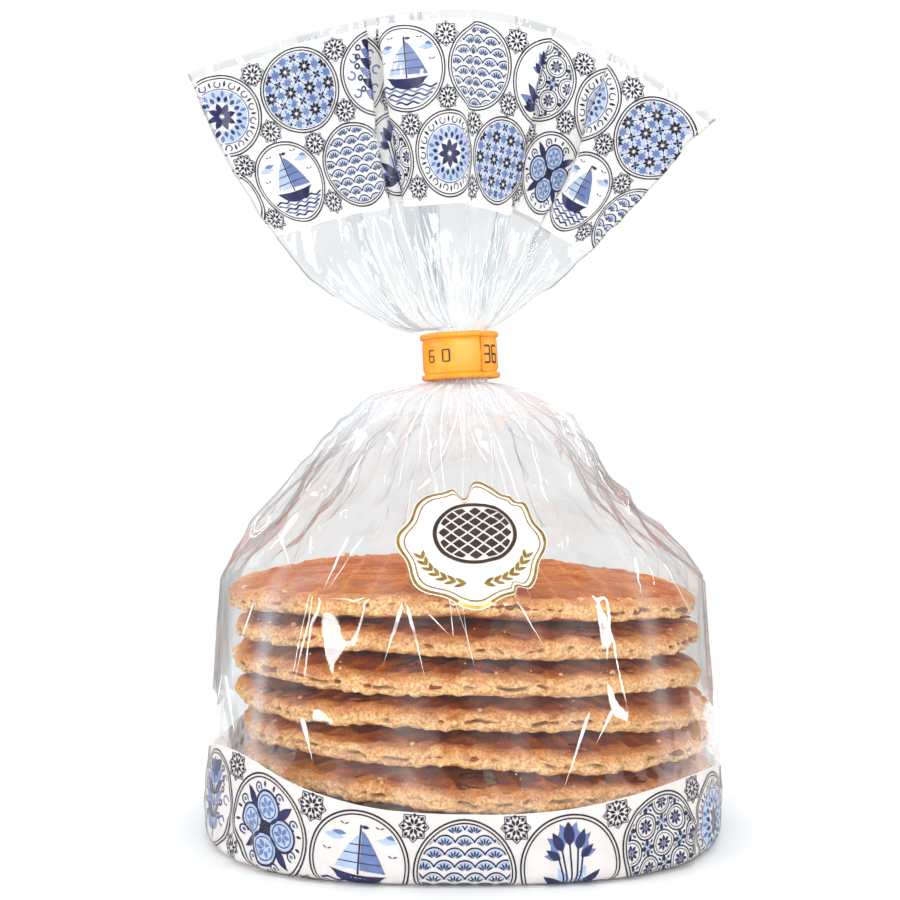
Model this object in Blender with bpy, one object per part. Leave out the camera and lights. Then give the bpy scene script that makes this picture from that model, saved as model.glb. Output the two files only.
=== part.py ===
"""A clear film bag of seven stroopwafels, standing on its base and gathered by a clip band.

Metres, +Z up, the origin in the middle of the base, the front of the bag towards -Y.
The bag is one closed solid: a body round the stack, a pleated shoulder that gathers into
the neck, and an open crown of film above it. The clip band is a wired plastic strip wound
a turn and a third round the neck.
"""

import math

import bpy
import numpy as np

# The stack of stroopwafels that gives the body its height
WAFFLE_COUNT = 7
WAFFLE_PITCH = 0.0064
STACK_FOOT = 0.0012
BODY_TOP = STACK_FOOT + WAFFLE_COUNT * WAFFLE_PITCH

# The body: half width, half depth and squareness of its outline at the base and at the rim
BASE_HALF = (0.0490, 0.0513)
BASE_SQUARENESS = 2.8
RIM_HALF = (0.0475, 0.0474)
RIM_SQUARENESS = 2.1
BODY_TAPER = 1.3
BASE_ROUND = 0.0022

# The neck and the clip band round it
CLIP_HEIGHT = 0.0092
CLIP_TILT_DEG = 3.0
CLIP_MIDDLE = 0.0897
NECK_HALF = (0.0048, 0.0031)
NECK_SPARE = 0.0009
NECK_LOW = CLIP_MIDDLE - CLIP_HEIGHT / 2 - NECK_SPARE
NECK_HIGH = CLIP_MIDDLE + CLIP_HEIGHT / 2 + NECK_SPARE

# The shoulder: how its half width and half depth grow downwards from the neck
SHOULDER_GROWTH = (0.56, 0.66)
SHOULDER_PLEATS = 15
PLEAT_DEPTH = 0.0022

# The crown: a fan of two leaves, its corners at different heights
CROWN_TOP = 0.1592
CORNER_LEFT = (-0.0544, 0.1463)
CORNER_RIGHT = (0.0502, 0.1375)
FLARE_LEFT = 0.43
FLARE_RIGHT = 0.80
CROWN_ARCH = 1.7
CROWN_HALF_GAP = 0.0064
CROWN_WALL = 0.0013
CROWN_WAVE = 0.0052
CROWN_WAVES = ((2.4, 0.7, 0.50), (6.1, 2.1, 0.34), (10.3, 4.0, 0.16))
GATHER_WAVE = 0.0010
GATHER_RATE = 13.0

# The clip band's own section and winding
BAND_THICK = 0.0007
BEAD_THICK = 0.0011
BEAD_HEIGHT = 0.0012
EDGE_ROUND = 0.0002
BAND_PITCH = 0.0015
CLIP_INNER_HALF = (0.0056, 0.0036)
CLIP_SQUARENESS = 0.82
CLIP_OVERLAP_DEG = 125.0
CLIP_END_DEG = -68.0

# How finely each surface is divided
AROUND = 96
BODY_ROWS = 4
SHOULDER_ROWS = 12
CROWN_ROWS = 12
HOLLOW_ROWS = 8
HOLLOW_FLOOR = 0.24
CLIP_STEPS = 84

ANGLES = np.arange(AROUND) * 2 * math.pi / AROUND


def clear_scene():
    for thing in list(bpy.data.objects):
        bpy.data.objects.remove(thing, do_unlink=True)


def collection(name):
    made = bpy.data.collections.new(name)
    bpy.context.scene.collection.children.link(made)
    return made


def plain_material(name, colour, roughness, alpha=1.0):
    made = bpy.data.materials.new(name)
    made.use_nodes = True
    shader = made.node_tree.nodes["Principled BSDF"]
    shader.inputs["Base Color"].default_value = (*colour, 1.0)
    shader.inputs["Roughness"].default_value = roughness
    shader.inputs["Metallic"].default_value = 0.0
    shader.inputs["Alpha"].default_value = alpha
    made.diffuse_color = (*colour, alpha)
    return made


def lofted(name, rings, materials, home, material_of_ring=None):
    """A closed solid through rings of equally many points, flat at both ends.

    Rings that turn from +X to +Y while they rise have their outside outwards.
    """
    count = len(rings[0])
    points = np.concatenate(rings)
    faces = [tuple(reversed(range(count)))]
    for low in range(len(rings) - 1):
        for step in range(count):
            near, far = low * count, (low + 1) * count
            after = (step + 1) % count
            faces.append((near + step, near + after, far + after, far + step))
    faces.append(tuple(range((len(rings) - 1) * count, len(rings) * count)))
    mesh = bpy.data.meshes.new(name)
    mesh.from_pydata(points.tolist(), [], faces)
    for material in materials:
        mesh.materials.append(material)
    if material_of_ring:
        for index, polygon in enumerate(mesh.polygons):
            ring = min(max(index - 1, 0) // count, len(rings) - 2)
            polygon.material_index = material_of_ring(rings[ring])
    mesh.shade_smooth()
    mesh.set_sharp_from_angle(angle=math.radians(38))
    mesh.update()
    made = bpy.data.objects.new(name, mesh)
    home.objects.link(made)
    return made


def eased(value):
    """0 to 1 with no corner at either end."""
    value = np.clip(value, 0.0, 1.0)
    return value * value * (3.0 - 2.0 * value)


def level_ring(half, squareness, height):
    """A superellipse: an ellipse at squareness 2, nearer to its own rectangle above that."""
    power = 2.0 / squareness
    across, along = np.cos(ANGLES), np.sin(ANGLES)
    x = half[0] * np.sign(across) * np.abs(across) ** power
    y = half[1] * np.sign(along) * np.abs(along) ** power
    return np.column_stack([x, y, np.full(AROUND, height)])


def body_ring(height, inset=0.0):
    """The body narrows a little and grows rounder from the base to the rim."""
    rise = (height / BODY_TOP) ** BODY_TAPER
    half = [low + (high - low) * rise - inset for low, high in zip(BASE_HALF, RIM_HALF)]
    return level_ring(half, BASE_SQUARENESS + (RIM_SQUARENESS - BASE_SQUARENESS) * rise, height)


def body_rings():
    """From the floor, over the round edge of the base, up to the rim of the top waffle."""
    foot = [body_ring(0.0, BASE_ROUND), body_ring(BASE_ROUND * 0.3, BASE_ROUND * 0.3)]
    heights = np.linspace(BASE_ROUND, BODY_TOP, BODY_ROWS + 1)
    return foot + [body_ring(height) for height in heights]


def ridges(angles, count, phase):
    """Pleats with sharp valleys: 0 in the valleys and 1 on the crests, no two alike."""
    uneven = angles + 0.11 * np.sin(3 * angles + phase) + 0.07 * np.sin(5 * angles + 2 * phase)
    return np.abs(np.sin(0.5 * count * uneven + phase)) ** 0.8


def shoulder_ring(share):
    """share is 0 at the stack's rim and 1 at the neck."""
    down = 1.0 - share
    rim = body_ring(BODY_TOP)
    neck = level_ring(NECK_HALF, 2.0, NECK_LOW)
    ring = neck.copy()
    for axis, growth in enumerate(SHOULDER_GROWTH):
        ring[:, axis] += (rim[:, axis] - neck[:, axis]) * down**growth
    fade = eased(down / 0.16) * eased(share / 0.45)
    depth = PLEAT_DEPTH * fade * ridges(ANGLES, SHOULDER_PLEATS, 0.8)
    length = np.linalg.norm(ring[:, :2], axis=1)
    ring[:, :2] *= ((length - depth) / length)[:, None]
    ring[:, 2] = BODY_TOP + (NECK_LOW - BODY_TOP) * share
    return ring


def crown_ring(share, shrink=0.0):
    """A loop round both leaves of the fan, share of the way from the neck to the mouth.

    Its half width grows fast at first, its ends droop, and one wave moves both leaves
    alike. shrink takes the loop in by that much, for the hollow between the leaves.
    """
    across = np.cos(ANGLES)
    left = across < 0
    corner = np.where(left, -CORNER_LEFT[0], CORNER_RIGHT[0])
    flare = np.where(left, FLARE_LEFT, FLARE_RIGHT)
    half = NECK_HALF[0] + (corner - NECK_HALF[0]) * share**flare
    across = across * (half - 1.6 * shrink) / half
    droop = CROWN_TOP - np.where(left, CORNER_LEFT[1], CORNER_RIGHT[1])
    height = NECK_HIGH + (CROWN_TOP - NECK_HIGH - droop * np.abs(across) ** CROWN_ARCH) * share
    wave = sum(size * np.sin(rate * across + phase) for rate, phase, size in CROWN_WAVES)
    wave = CROWN_WAVE * eased(share / 0.8) * wave
    gather = GATHER_WAVE * eased(share / 0.12) * eased((0.62 - share) / 0.4)
    wave = wave + gather * np.sin(GATHER_RATE * across)
    gap = NECK_HALF[1] + (CROWN_HALF_GAP - NECK_HALF[1]) * share
    return np.column_stack([half * across, (gap - shrink) * np.sin(ANGLES) + wave, height])


def bag_zone(ring):
    """Which colour a ring of faces has: printed base, waffles, clear film or printed crown."""
    middle = ring[:, 2].mean()
    if middle < 0.011:
        return 1
    if middle < BODY_TOP:
        return 2
    return 1 if middle > 0.120 else 0


def make_bag(home):
    shoulder = np.linspace(0.0, 1.0, SHOULDER_ROWS + 1)[1:]
    rings = body_rings()
    rings += [shoulder_ring(1.0 - (1.0 - share) ** 1.5) for share in shoulder]
    rings += [level_ring(NECK_HALF, 2.0, NECK_HIGH)]
    crown = np.linspace(0.0, 1.0, CROWN_ROWS + 1)[1:]
    rings += [crown_ring(share**1.3) for share in crown]
    hollow = np.linspace(1.0, HOLLOW_FLOOR, HOLLOW_ROWS)
    rings += [crown_ring(share, CROWN_WALL) for share in hollow]
    film = plain_material("clear_film", (0.86, 0.89, 0.91), 0.12, 0.45)
    printed = plain_material("printed_film", (0.76, 0.81, 0.90), 0.25)
    waffle = plain_material("waffle_stack", (0.62, 0.34, 0.13), 0.8)
    return lofted("bag", rings, [film, printed, waffle], home, bag_zone)


def band_section():
    """The strip's outline: outward offset and height, with a wire bead along each edge."""
    half = CLIP_HEIGHT / 2
    bead = [
        (BAND_THICK, half - BEAD_HEIGHT),
        (BEAD_THICK, half - 0.72 * BEAD_HEIGHT),
        (BEAD_THICK, half - 0.28 * BEAD_HEIGHT),
        (0.6 * BEAD_THICK, half),
    ]
    lower = [(out, -height) for out, height in reversed(bead)]
    inner = half - EDGE_ROUND
    return np.array([(0.0, -inner)] + lower + bead + [(0.0, inner)])


def make_clip(home):
    """The strip runs round the neck from its outer end at the front, and in under itself."""
    section = band_section()
    turn = math.radians(360.0 + CLIP_OVERLAP_DEG)
    rings = []
    for share in np.linspace(0.0, 1.0, CLIP_STEPS + 1):
        angle = math.radians(CLIP_END_DEG) - turn * share
        grown = BAND_PITCH * turn / (2 * math.pi) * (1.0 - share)
        half = np.array(CLIP_INNER_HALF) + grown
        direction = np.array([math.cos(angle), math.sin(angle)])
        squared = np.sign(direction) * np.abs(direction) ** CLIP_SQUARENESS
        outward = squared / half
        outward /= np.linalg.norm(outward)
        place = half * squared + section[:, :1] * outward
        rings.append(np.column_stack([place, section[:, 1]]))
    amber = plain_material("amber_clip", (0.90, 0.42, 0.05), 0.35)
    made = lofted("clip_band", rings, [amber], home)
    made.location = (0.0, 0.0, CLIP_MIDDLE)
    made.rotation_euler = (0.0, math.radians(-CLIP_TILT_DEG), 0.0)
    return made


def main():
    clear_scene()
    home = collection("bagged_stroopwafels")
    make_bag(home)
    make_clip(home)


main()
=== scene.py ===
"""Looks of a clear bag of stroopwafels: film, print, badge, waffles and clip band.

Metres, +Z up, the front of the bag towards -Y. The film is worked out as two grids of
points, the body and the crown. What is printed or stuck on it is drawn flat in millimetres
and laid on those grids, so it follows every fold.
"""

import math

import bmesh
import bpy
import numpy as np
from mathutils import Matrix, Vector


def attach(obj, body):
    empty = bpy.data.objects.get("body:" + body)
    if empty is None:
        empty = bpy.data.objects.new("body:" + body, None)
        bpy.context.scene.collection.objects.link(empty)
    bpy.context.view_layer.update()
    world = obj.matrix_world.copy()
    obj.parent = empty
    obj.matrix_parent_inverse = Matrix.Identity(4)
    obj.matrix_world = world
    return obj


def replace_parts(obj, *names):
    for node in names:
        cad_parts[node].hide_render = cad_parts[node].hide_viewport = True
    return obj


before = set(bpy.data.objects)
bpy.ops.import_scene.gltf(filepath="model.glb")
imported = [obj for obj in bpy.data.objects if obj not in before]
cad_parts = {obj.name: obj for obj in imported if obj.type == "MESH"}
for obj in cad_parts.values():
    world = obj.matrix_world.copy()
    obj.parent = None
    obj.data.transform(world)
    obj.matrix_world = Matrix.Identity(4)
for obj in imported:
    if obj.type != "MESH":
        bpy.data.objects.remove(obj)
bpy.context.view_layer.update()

MM = 0.001
FULL_TURN = 2.0 * math.pi

# The stack of stroopwafels; TOP_WAFFLE is the height of the top one's middle
WAFFLES = 7
WAFFLE_RADIUS = 45.6 * MM
WAFFLE_PITCH = 6.35 * MM
TOP_WAFFLE = 44.4 * MM
FULL_HALF_THICK = 3.05 * MM
CARAMEL_HALF_THICK = 0.24 * MM
IRON_PITCH = 5.2 * MM
IRON_DEPTH = 0.55 * MM
STACK_TILT = 0.039
SIDE_DROOP = 2.3 * MM
# Nothing in the bag comes nearer to the floor than this
FLOOR_GAP = 0.2 * MM
# How far each waffle, counted from the top, has slid to the right, in mm
SLID_RIGHT = (0.0, 1.1, 0.8, 1.8, 2.7, 2.9, 2.4)
# Points round a waffle and rows on its upper face: the top one, whose face shows, and the rest
TOP_GRID = (800, 76)
LOWER_GRID = (960, 3)
CARAMEL_STEPS = 360

# The film round the stack
BODY_TOP = 46.0 * MM
BASE_HALF = (49.0 * MM, 51.3 * MM)
BASE_SQUARENESS = 2.8
RIM_HALF = (47.5 * MM, 47.4 * MM)
RIM_SQUARENESS = 2.1
BODY_TAPER = 1.3
FOOT = 2.2 * MM
NECK_HALF = (4.8 * MM, 3.1 * MM)
NECK_LOW = 84.2 * MM
NECK_HIGH = 95.2 * MM
SHOULDER_GROWTH = (0.56, 0.66)
SHOULDER_PLEATS = 15
PLEAT_DEPTH = 2.2 * MM
SHOULDER_DENT = 4.4 * MM
SHOULDER_LEDGE = 3.2 * MM
# Painted highlights: bands on the front where the film is whitened as if catching the light: angle and half
# width in radians, how white
PAINTED_FILM_HIGHLIGHTS = ((3.94, 0.060, 0.62), (3.74, 0.035, 0.35), (5.42, 0.050, 0.40))

# The crown of film above the clip band
CROWN_TOP = 159.2 * MM
CORNER_LEFT = (-54.4 * MM, 146.3 * MM)
CORNER_RIGHT = (50.2 * MM, 137.5 * MM)
FLARE_LEFT = 0.43
FLARE_RIGHT = 0.80
CROWN_ARCH = 1.7
LEAF_GAP = 6.0 * MM
FRONT_LEAN = 0.33
FOLD_DEPTH = 0.5
# The folds of each leaf: place along its mouth and half width in mm, and swing in degrees
FRONT_FOLDS = (
    (38.0, 3.6, 105.0), (60.0, 6.4, -168.0), (88.0, 3.5, -70.0),
    (112.0, 6.2, 165.0), (142.0, 4.2, -110.0),
)
BACK_FOLDS = ((30.0, 5.0, -130.0), (70.0, 6.6, 165.0), (104.0, 4.5, -110.0), (138.0, 6.4, -160.0))

# The print on the film, in mm: rows of round tiles between small stars. What is down is
# measured from the upper edge of the base's print, and from the crown's mouth
FILM_ROUND = 332.0
TILES_ROUND = 19
TILE_RADIUS = 8.5
MOTIF_RADIUS = 7.45
BASE_PRINT_DEEP = 24.05
BASE_TILES_DOWN = 9.2
BASE_STARS_DOWN = (2.2, 16.0)
CROWN_PRINT = (1.6, 37.0)
CROWN_TILES_DOWN = (10.5, 27.4)
CROWN_STAR_STEP = 6.1
PRINT_MARGIN = 0.15

# How far each ink, each layer of the badge, each crease and each fine crumb lies off the film
INK_LIFT = {"light": 0.035 * MM, "mid": 0.055 * MM, "navy": 0.075 * MM, "outline": 0.095 * MM}
BADGE_LIFT = {"white": 0.05 * MM, "gold": 0.12 * MM, "dark": 0.20 * MM}
CREASE_LIFT = 0.05 * MM
SPECK_LIFT = -0.25 * MM
# Swarms of fine crumbs on the film, and crumbs in each
SPECKS = (16, 14)

# The badge: its middle across in mm and its height, its half sizes in mm, and the tucks in its
# edge, each an angle and half width in radians and a depth as a share of the badge's radius
BADGE_MIDDLE = (1.6, 55.2 * MM)
BADGE_HALF = (12.2, 13.3)
BADGE_TUCKS = ((1.72, 0.11, 0.27), (0.86, 0.09, 0.07), (5.36, 0.07, 0.10))

# White lines on the front, partly stress-whitened creases and partly painted highlights along folds: x and z
# of both ends, the upper first, and width, in mm
FRONT_CREASES = (
    (-10.3, 45.6, -13.5, 35.0, 0.9), (-9.6, 45.6, -6.4, 33.0, 0.8), (-20.3, 55.7, -24.2, 46.9, 0.6),
    (-17.4, 55.7, -23.7, 46.6, 0.4), (-27.2, 24.0, -25.2, 16.9, 1.3), (20.7, 27.0, 16.0, 14.5, 0.8),
    (24.8, 27.0, 21.7, 21.5, 1.0), (-43.4, 27.0, -45.0, 16.5, 1.5), (-42.4, 27.0, -40.0, 15.0, 1.5),
    (-1.6, 46.0, 0.9, 38.8, 0.4), (8.6, 46.4, 14.0, 37.0, 0.4), (30.5, 52.0, 31.0, 45.0, 0.5),
    (-34.0, 56.0, -30.0, 49.5, 0.7), (-31.0, 60.0, -36.0, 52.0, 0.9), (5.0, 62.0, 12.0, 44.0, 0.4),
    (-6.0, 44.0, -2.0, 40.0, 0.5), (36.0, 50.0, 43.0, 38.0, 0.6), (-37.0, 44.0, -40.0, 33.0, 0.5),
)

# The clip band
CLIP_HEIGHT = 9.2 * MM
CLIP_TILT = math.radians(3.0)
CLIP_MIDDLE = 89.7 * MM
CLIP_THICK = 0.7 * MM
CLIP_BEAD = 0.58 * MM
CLIP_BEAD_OUT = 0.52 * MM
CLIP_PITCH = 1.5 * MM
CLIP_INNER_HALF = (5.6 * MM, 3.6 * MM)
CLIP_SQUARENESS = 0.82
CLIP_TURN = math.radians(485.0)
CLIP_END = math.radians(-68.0)
CLIP_STEPS = 420
# Each digit: its text, where it stands along the strip, its width, height and stroke in mm
DIGITS = (
    ("6", 0.140, 1.1, 2.3, 0.28), ("0", 0.085, 1.1, 2.3, 0.28),
    ("3", 0.699, 1.4, 3.3, 0.42), ("6", 0.658, 1.4, 3.3, 0.42),
)
# The strokes of each digit, and both ends of each stroke in a cell 1 wide and 2 tall
DIGIT_STROKES = {"0": "abcdef", "3": "abgcd", "6": "afgcde"}
STROKES = {
    "a": ((0, 2), (1, 2)), "b": ((1, 2), (1, 1)), "c": ((1, 1), (1, 0)), "d": ((0, 0), (1, 0)),
    "e": ((0, 0), (0, 1)), "f": ((0, 1), (0, 2)), "g": ((0, 1), (1, 1)),
}

# Flat facets in the film. On the body: height and size in mm, seed, share beside the stack.
# On the crown: height and size in mm, seed, and how far above the neck they are full, in mm
BODY_FACETS = ((2.5, 17.0, 4, 0.13), (0.65, 7.0, 5, 0.30))
CROWN_FACETS = ((1.15, 13.0, 8, 14.0), (0.28, 5.0, 9, 10.0))

# How finely the film is divided: columns round it, and rows of print in mm
BODY_COLUMNS = 512
CROWN_COLUMNS = 576
PRINT_STEP = 0.65

# The floor's height, and where the photograph's camera stands
FLOOR_LEVEL = -0.12 * MM
CAMERA_PLACE = (-2.4 * MM, -270.0 * MM, 71.0 * MM)
# Each soft box: its name, its place, where it points, its size, its watts, and whether the film
# and the clip mirror it
SOFT_BOXES = (
    ("strip_left_near", (-0.52, -0.46, 0.36), (0, 0, 0.06), (0.05, 0.50), 1.1, True),
    ("strip_left_far", (-0.62, -0.26, 0.36), (0, 0, 0.06), (0.05, 0.50), 1.1, True),
    ("strip_right", (0.60, -0.30, 0.34), (0, 0, 0.06), (0.06, 0.50), 1.4, True),
    ("box_front", (0.06, -0.80, 0.30), (0, 0, 0.05), (0.30, 0.20), 1.6, True),
    ("box_low", (0.0, -0.90, 0.09), (0, 0, 0.03), (1.2, 0.30), 5.4, False),
    ("box_back", (0.1, 0.90, 0.35), (0, 0, 0.08), (1.2, 0.50), 3.5, False),
    ("box_over", (0.0, 0.85, 1.5), (0.0, 0.85, 0.0), (3.4, 2.6), 60.0, False),
)


def linear(code):
    """The linear colour of an sRGB hex code."""
    parts = [int(code[i : i + 2], 16) / 255 for i in (1, 3, 5)]
    return (*[p / 12.92 if p <= 0.04045 else ((p + 0.055) / 1.055) ** 2.4 for p in parts], 1.0)


def eased(value):
    """0 to 1 with no corner at either end."""
    value = np.clip(value, 0.0, 1.0)
    return value * value * (3.0 - 2.0 * value)


def rising(value, start, over):
    """0 up to the start, 1 from `over` beyond it, with no corner at either end."""
    return eased((value - start) / over)


def falling(value, end, over):
    """1 until `over` short of the end, and 0 from the end on."""
    return eased((end - value) / over)


def hump(value, middle, half):
    """A bell: 1 at its middle and 0.37 at its half width."""
    return np.exp(-(((value - middle) / half) ** 2))


def lumps(points, size, seed):
    """Random heights at the corners of cubes of that size, blended between them; -1 to 1."""
    place = points / size
    cell = np.floor(place).astype(np.int64)
    part = place - cell
    part = part * part * (3.0 - 2.0 * part)
    total = np.zeros(points.shape[:-1])
    for corner in np.ndindex(2, 2, 2):
        key = cell + np.array(corner)
        mixed = key[..., 0] * 73856093 ^ key[..., 1] * 19349663 ^ key[..., 2] * 83492791
        mixed = (mixed ^ (seed * 40503)) & 0xFFFFFFFF
        mixed = ((mixed ^ (mixed >> 13)) * 1274126177) & 0xFFFFFFFF
        height = ((mixed ^ (mixed >> 16)) & 0xFFFF) / 32767.5 - 1.0
        share = np.prod(np.where(np.array(corner) == 1, part, 1.0 - part), axis=-1)
        total += height * share
    return total


def crumple(points, size, seed):
    """Flat facets with sharp edges: the higher of two zigzags less the lower of two more."""
    chance = np.random.default_rng(seed)
    bent = points + 0.30 * size * np.sin(points[..., [1, 2, 0]] / size * 1.7 + seed)
    zigzags = []
    for _ in range(4):
        way = chance.normal(size=3)
        way /= np.linalg.norm(way) * size * chance.uniform(0.7, 1.5)
        zigzags.append(np.abs((bent @ way + chance.uniform()) % 1.0 - 0.5) * 2.0)
    return np.maximum(zigzags[0], zigzags[1]) - np.minimum(zigzags[2], zigzags[3]) - 0.33


def grid_faces(rows, columns, closed):
    """Quads between neighbouring points; the last column meets the first where closed."""
    row = np.arange(rows - 1)[:, None] * columns
    column = np.arange(columns if closed else columns - 1)[None, :]
    after = (column + 1) % columns
    corners = [row + column, row + after, row + columns + after, row + columns + column]
    return np.stack(corners, axis=-1).reshape(-1, 4)


def piece(name, parts, material, closed=False, attribute=None):
    """One mesh object from grids of points (rows, columns, 3), riding on the only body.

    Points that meet, as at a pole or at the tip of a leaf, become one.
    """
    faces, first = [], 0
    for part in parts:
        faces.append(grid_faces(part.shape[0], part.shape[1], closed) + first)
        first += part.shape[0] * part.shape[1]
    points = np.concatenate([part.reshape(-1, 3) for part in parts])
    faces = np.concatenate(faces)
    mesh = bpy.data.meshes.new(name)
    mesh.vertices.add(len(points))
    mesh.vertices.foreach_set("co", points.astype(np.float32).ravel())
    mesh.loops.add(faces.size)
    mesh.loops.foreach_set("vertex_index", faces.astype(np.int32).ravel())
    mesh.polygons.add(len(faces))
    mesh.polygons.foreach_set("loop_start", np.arange(0, faces.size, 4, dtype=np.int32))
    mesh.update(calc_edges=True)
    if attribute:
        label, values = attribute
        field = mesh.attributes.new(label, "FLOAT", "POINT")
        field.data.foreach_set("value", values.astype(np.float32).ravel())
    work = bmesh.new()
    work.from_mesh(mesh)
    bmesh.ops.remove_doubles(work, verts=work.verts, dist=1e-6)
    work.to_mesh(mesh)
    work.free()
    mesh.shade_smooth()
    mesh.materials.append(material)
    made = bpy.data.objects.new(name, mesh)
    bpy.context.scene.collection.objects.link(made)
    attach(made, "root")
    return made


def outward(grid):
    """Unit normals of a grid whose columns close and run anticlockwise while its rows rise."""
    along = np.roll(grid, -1, axis=1) - np.roll(grid, 1, axis=1)
    normal = np.cross(along, np.gradient(grid, axis=0))
    return normal / np.maximum(np.linalg.norm(normal, axis=-1, keepdims=True), 1e-12)


# Materials


def new_material(name):
    made = bpy.data.materials.new(name)
    made.use_nodes = True
    made.node_tree.nodes.clear()
    return made, made.node_tree


def add(tree, kind, links=None, stops=(), **settings):
    """One shader node: its settings, then its inputs as numbers, colours, sockets or nodes.

    A node given as an input stands for its first output. A colour ramp takes its stops, each
    a place between 0 and 1 and a colour.
    """
    made = tree.nodes.new("ShaderNode" + kind)
    for key, value in settings.items():
        setattr(made, key, value)
    for key, value in (links or {}).items():
        if isinstance(value, bpy.types.Node):
            value = value.outputs[0]
        if isinstance(value, bpy.types.NodeSocket):
            tree.links.new(value, made.inputs[key])
        else:
            made.inputs[key].default_value = value
    if stops:
        bar = made.color_ramp.elements
        while len(bar) < len(stops):
            bar.new(0.5)
        for element, (place, code) in zip(bar, stops):
            element.position = place
            element.color = linear(code)
    return made


def speckle(tree, size, detail=3.0, roughness=0.55, upright=1.0):
    """Noise whose largest spots are about that size, in metres, on the object's own place.

    Spots are drawn out upwards by `upright`.
    """
    where = add(tree, "TexCoord").outputs["Object"]
    where = add(tree, "Mapping", {"Vector": where, "Scale": (1.0, 1.0, 1.0 / upright)})
    settings = {"Vector": where, "Scale": 1.0 / size, "Detail": detail, "Roughness": roughness}
    return add(tree, "TexNoise", settings)


def film_material():
    """Cast polypropylene film, 0.03 mm: clear and very glossy, with cloudy upright streaks.

    Where it is gathered it lies many layers deep, and looks white. The same milk also paints highlight bands
    on the front of the body.
    """
    made, tree = new_material("clear_cast_polypropylene_film")
    through = add(tree, "BsdfTransparent", {"Color": linear("#F7F9FA")})
    shine = add(tree, "BsdfGlossy", {"Color": linear("#FFFFFF"), "Roughness": 0.05})
    slant = add(tree, "LayerWeight", {"Blend": 0.5}).outputs["Facing"]
    grazing = add(tree, "Math", {0: slant, 1: 2.7}, operation="POWER")
    mirror = add(tree, "MapRange", {"Value": grazing, "To Min": 0.06, "To Max": 0.85})
    glossy = add(tree, "MixShader", {0: mirror, 1: through, 2: shine})
    cloud = speckle(tree, 24 * MM)
    tone = add(tree, "ValToRGB", {"Fac": cloud}, [(0.42, "#EBDFD8"), (0.58, "#E2ECF4")])
    milk = add(tree, "BsdfDiffuse", {"Color": tone})
    streaks = speckle(tree, 12 * MM, 2.0, upright=2.6)
    spread = {"From Min": 0.46, "From Max": 0.70, "To Min": 0.003, "To Max": 0.085}
    haze = add(tree, "MapRange", {"Value": streaks, **spread})
    layers = add(tree, "Attribute", attribute_name="gathered").outputs["Fac"]
    layers = add(tree, "MapRange", {"Value": layers, "To Max": 0.34})
    cover = add(tree, "Math", {0: haze, 1: layers}, operation="MAXIMUM")
    both = add(tree, "MixShader", {0: cover, 1: glossy, 2: milk})
    add(tree, "OutputMaterial", {"Surface": both})
    return made


def crease_and_highlight_material():
    """A white line on the film, partly a fold turned white and cloudy and partly a painted highlight along a
    fold: mostly covering.
    """
    made, tree = new_material("stress_whitened_film_and_painted_highlights")
    clear = add(tree, "BsdfTransparent", {"Color": linear("#FFFFFF")})
    white = {"Base Color": linear("#FDFDFD"), "Roughness": 0.35, "IOR": 1.5}
    white = add(tree, "BsdfPrincipled", white)
    patches = speckle(tree, 3 * MM)
    spread = {"From Min": 0.3, "From Max": 0.7, "To Min": 0.2, "To Max": 0.9}
    cover = add(tree, "MapRange", {"Value": patches, **spread})
    both = add(tree, "MixShader", {0: cover, 1: clear, 2: white})
    add(tree, "OutputMaterial", {"Surface": both})
    return made


def ink_material(name, dark, light, roughness=0.3, through=0.0):
    """Gravure ink under the film's gloss: an even field with a faint unevenness of cover.

    `through` is the share of the light that passes on through it.
    """
    made, tree = new_material(name)
    patches = speckle(tree, 2.5 * MM)
    colour = add(tree, "ValToRGB", {"Fac": patches}, [(0.3, dark), (0.7, light)])
    surface = {"Base Color": colour, "Roughness": roughness, "IOR": 1.45}
    shader = add(tree, "BsdfPrincipled", surface)
    if through:
        back = add(tree, "BsdfTranslucent", {"Color": colour})
        shader = add(tree, "MixShader", {0: through, 1: shader, 2: back})
    add(tree, "OutputMaterial", {"Surface": shader})
    return made


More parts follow.
